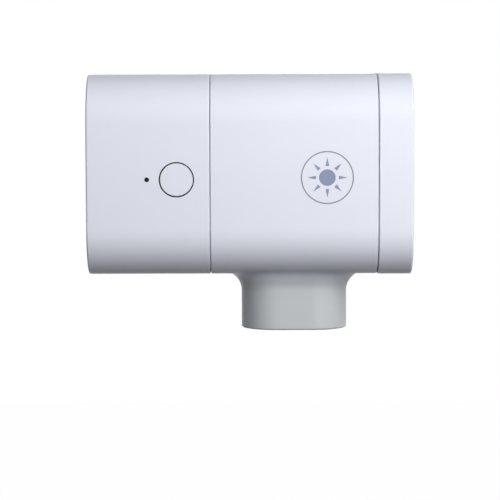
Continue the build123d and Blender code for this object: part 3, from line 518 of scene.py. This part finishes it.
def makeWorld():
    # white where it is seen, and a faint fill on the object
    world = bpy.data.worlds.new("studioWorld")
    bpy.context.scene.world = world
    world.use_nodes = True
    tree = world.node_tree
    fill = tree.nodes["Background"]
    fill.inputs["Color"].default_value = (*studio["fillColour"], 1)
    fill.inputs["Strength"].default_value = studio["fillStrength"]
    white = addNode(tree, "ShaderNodeBackground", Color=(1, 1, 1, 1), Strength=studio["backgroundWhite"])
    choose = addNode(tree, "ShaderNodeMixShader")
    tree.links.new(seenBackground(tree), choose.inputs["Fac"])
    tree.links.new(fill.outputs[0], choose.inputs[1])
    tree.links.new(white.outputs[0], choose.inputs[2])
    tree.links.new(choose.outputs[0], tree.nodes["World Output"].inputs["Surface"])


def floorMaterial():
    # glows pale where it is seen, with a trace of shade, and bounces little light
    material, tree, shader = startMaterial("paleFloor")
    shader.inputs["Base Color"].default_value = (*studio["floorColour"], 1)
    shader.inputs["Roughness"].default_value = studio["floorRoughness"]
    glow = addNode(tree, "ShaderNodeEmission", Strength=studio["floorGlow"])
    shade = addNode(tree, "ShaderNodeBsdfDiffuse", Color=(*studio["floorShade"], 1))
    seen = addNode(tree, "ShaderNodeAddShader")
    tree.links.new(glow.outputs[0], seen.inputs[0])
    tree.links.new(shade.outputs[0], seen.inputs[1])
    mix = addNode(tree, "ShaderNodeMixShader")
    tree.links.new(seenBackground(tree), mix.inputs["Fac"])
    tree.links.new(shader.outputs[0], mix.inputs[1])
    tree.links.new(seen.outputs[0], mix.inputs[2])
    tree.links.new(mix.outputs[0], tree.nodes["Material Output"].inputs["Surface"])
    return material


def makeFloor():
    # far below, because the object hangs on a wall
    mesh = bpy.data.meshes.new("studio_floor")
    half = studio["floorSize"] / 2
    level = cadBox[0][2] - studio["floorDrop"]
    corners = [(x, y, level) for x, y in ((-half, -half), (half, -half), (half, half), (-half, half))]
    mesh.from_pydata(corners, [], [(0, 1, 2, 3)])
    mesh.materials.append(floorMaterial())
    floor = bpy.data.objects.new("studio_floor", mesh)
    bpy.context.scene.collection.objects.link(floor)


makeWorld()
makeFloor()

lamps = {
    "keyLamp": {"place": (0.19, -0.36, 0.17), "width": 0.36, "height": 0.28, "power": 1.62,
                "colour": (1.0, 0.99, 0.94)},
    "frontLamp": {"place": (0.22, -0.60, 0.08), "width": 0.12, "height": 0.10, "power": 1.05,
                  "colour": (1.0, 1.0, 1.0)},
    "topLamp": {"place": (0.03, -0.40, 0.36), "width": 0.40, "height": 0.14, "power": 0.05,
                "colour": (0.92, 0.95, 1.0)},
    "backLamp": {"place": (0.20, 0.80, 0.02), "width": 1.40, "height": 1.00, "power": 2.6,
                 "colour": (0.97, 0.98, 1.0)},
    "sideLamp": {"place": (-0.45, 0.56, -0.02), "width": 0.90, "height": 0.90, "power": 1.5,
                 "colour": (0.94, 0.96, 1.0)},
}


def addLamp(name, lamp):
    light = bpy.data.lights.new(name, "AREA")
    light.shape = "RECTANGLE"
    light.size = lamp["width"]
    light.size_y = lamp["height"]
    light.energy = lamp["power"]
    light.color = lamp["colour"]
    lightObject = bpy.data.objects.new(name, light)
    lightObject.location = lamp["place"]
    aim = Vector(studio["lampTarget"]) - Vector(lamp["place"])
    lightObject.rotation_euler = aim.to_track_quat("-Z", "Y").to_euler()
    bpy.context.scene.collection.objects.link(lightObject)


for lampName, lamp in lamps.items():
    addLamp(lampName, lamp)

cameraSetup = {
    "place": (0.00006, -0.6222, 0.026), "aim": (-0.00004, -0.0232, -0.0203),
    "lens": 165.0, "sensor": 36.0, "roll": -0.17, "clipStart": 0.01,
}
cameraData = bpy.data.cameras.new("photoCamera")
cameraData.lens = cameraSetup["lens"]
cameraData.sensor_width = cameraSetup["sensor"]
cameraData.clip_start = cameraSetup["clipStart"]
camera = bpy.data.objects.new("photoCamera", cameraData)
bpy.context.scene.collection.objects.link(camera)
camera.location = cameraSetup["place"]
aimDirection = Vector(cameraSetup["aim"]) - Vector(cameraSetup["place"])
aimTurn = aimDirection.to_track_quat("-Z", "Y").to_matrix()
rollTurn = Matrix.Rotation(radians(cameraSetup["roll"]), 3, "Z")
camera.rotation_euler = (aimTurn @ rollTurn).to_euler()
bpy.context.scene.camera = camera
bpy.context.scene.view_settings.view_transform = "Standard"
print("floor, lamps and camera placed")
